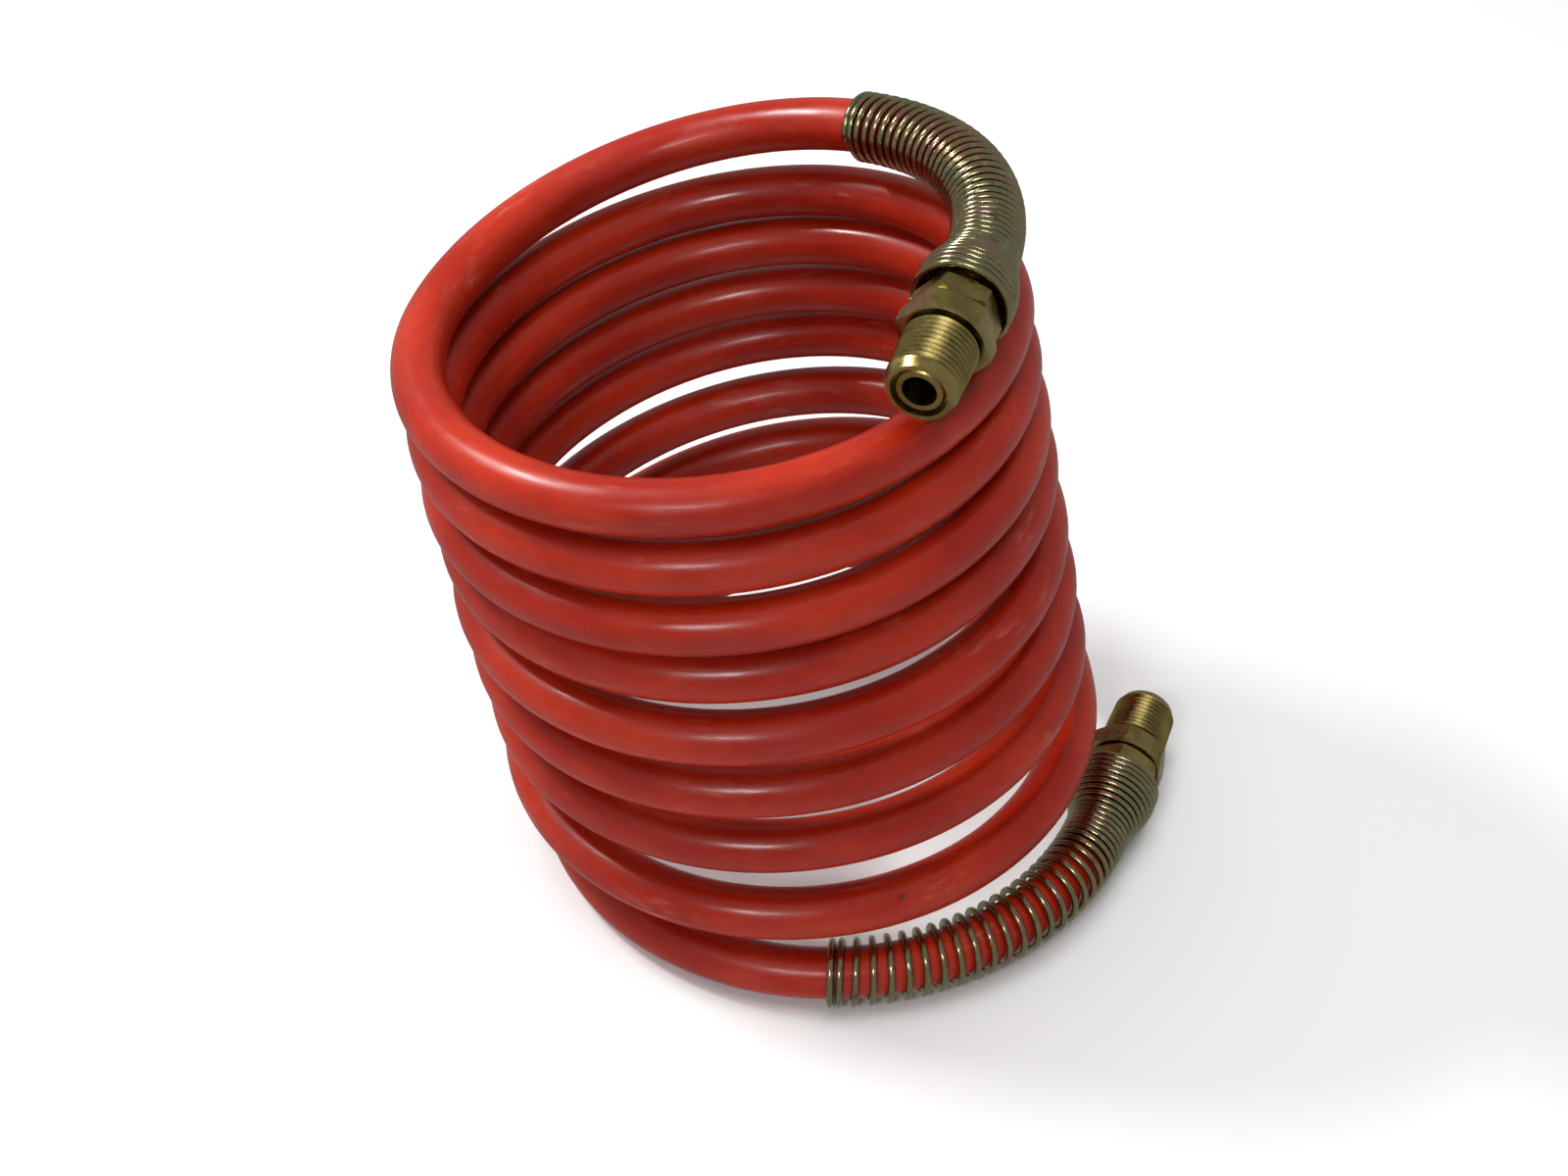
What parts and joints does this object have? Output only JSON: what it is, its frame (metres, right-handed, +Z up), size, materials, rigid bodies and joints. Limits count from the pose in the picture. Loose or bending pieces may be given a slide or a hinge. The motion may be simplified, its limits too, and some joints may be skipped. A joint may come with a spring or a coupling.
{
  "type": "coiled air hose",
  "caption": "Self-storing coiled plastic air hose with a wire spring guard and a swivelling male threaded brass nipple on each end.",
  "frame": {"origin": "on the ground in the middle of the footprint of the standing coil", "axes": "+Z up along the standing coil, -Y the side with the open front of the turns, +X the side where both fittings come out"},
  "size_m": [0.1944, 0.162, 0.1809],
  "materials": {
    "hose": "semi-gloss red nylon, scuffed and dusty",
    "guard_wire": "spring wire with worn yellow zinc plating",
    "brass": "dull machined brass",
    "seal": "matte black rubber"
  },
  "bodies": {
    "ground_end": {"bottom_lead": "hose", "bottom_guard": "guard_wire", "bottom_nut": "brass", "bottom_ferrule": "brass", "bottom_stem": "brass", "bottom_thrust_washer": "brass"},
    "turn_1": {"back_turn_1": "hose", "front_turn_1": "hose"},
    "turn_2": {"back_turn_2": "hose", "front_turn_2": "hose"},
    "turn_3": {"back_turn_3": "hose", "front_turn_3": "hose"},
    "turn_4": {"back_turn_4": "hose", "front_turn_4": "hose"},
    "turn_5": {"back_turn_5": "hose", "front_turn_5": "hose"},
    "turn_6": {"back_turn_6": "hose", "front_turn_6": "hose"},
    "turn_7": {"back_turn_7": "hose", "front_turn_7": "hose"},
    "turn_8": {"back_turn_8": "hose", "front_turn_8": "hose"},
    "top_end": {"top_lead": "hose", "top_guard": "guard_wire", "top_nut": "brass", "top_ferrule": "brass", "top_stem": "brass", "top_thrust_washer": "brass"},
    "bottom_swivel": {"bottom_nipple": "brass", "bottom_o_ring": "seal"},
    "top_swivel": {"top_nipple": "brass", "top_o_ring": "seal"}
  },
  "joints": [
    {"name": "bottom_swivel_turn", "type": "hinge", "parent": "ground_end", "child": "bottom_swivel", "pos_m": [0.0906, 0.01289, 0.01206], "axis": [0.3905, 0.9205, 0.014], "continuous": true},
    {"name": "top_swivel_turn", "type": "hinge", "parent": "top_end", "child": "top_swivel", "pos_m": [0.02103, -0.04937, 0.16689], "axis": [-0.355, -0.9304, -0.0911], "continuous": true},
    {"name": "stretch_1", "type": "slide", "parent": "ground_end", "child": "turn_1", "axis": [-0.1628, 0, 0.9867], "range_m": [0, 0.02], "stiffness_N_per_m": 75},
    {"name": "stretch_2", "type": "slide", "parent": "turn_1", "child": "turn_2", "axis": [-0.1628, 0, 0.9867], "range_m": [0, 0.02], "stiffness_N_per_m": 75},
    {"name": "stretch_3", "type": "slide", "parent": "turn_2", "child": "turn_3", "axis": [-0.1628, 0, 0.9867], "range_m": [0, 0.02], "stiffness_N_per_m": 75},
    {"name": "stretch_4", "type": "slide", "parent": "turn_3", "child": "turn_4", "axis": [-0.1628, 0, 0.9867], "range_m": [0, 0.02], "stiffness_N_per_m": 75},
    {"name": "stretch_5", "type": "slide", "parent": "turn_4", "child": "turn_5", "axis": [-0.1628, 0, 0.9867], "range_m": [0, 0.02], "stiffness_N_per_m": 75},
    {"name": "stretch_6", "type": "slide", "parent": "turn_5", "child": "turn_6", "axis": [-0.1628, 0, 0.9867], "range_m": [0, 0.02], "stiffness_N_per_m": 75},
    {"name": "stretch_7", "type": "slide", "parent": "turn_6", "child": "turn_7", "axis": [-0.1628, 0, 0.9867], "range_m": [0, 0.02], "stiffness_N_per_m": 75},
    {"name": "stretch_8", "type": "slide", "parent": "turn_7", "child": "turn_8", "axis": [-0.1628, 0, 0.9867], "range_m": [0, 0.02], "stiffness_N_per_m": 75},
    {"name": "stretch_9", "type": "slide", "parent": "turn_8", "child": "top_end", "axis": [-0.1628, 0, 0.9867], "range_m": [0, 0.02], "stiffness_N_per_m": 75}
  ],
  "couplings": [
    {"joint": "stretch_2", "follows": "stretch_1", "ratio": 1},
    {"joint": "stretch_3", "follows": "stretch_1", "ratio": 1},
    {"joint": "stretch_4", "follows": "stretch_1", "ratio": 1},
    {"joint": "stretch_5", "follows": "stretch_1", "ratio": 1},
    {"joint": "stretch_6", "follows": "stretch_1", "ratio": 1},
    {"joint": "stretch_7", "follows": "stretch_1", "ratio": 1},
    {"joint": "stretch_8", "follows": "stretch_1", "ratio": 1},
    {"joint": "stretch_9", "follows": "stretch_1", "ratio": 1}
  ]
}
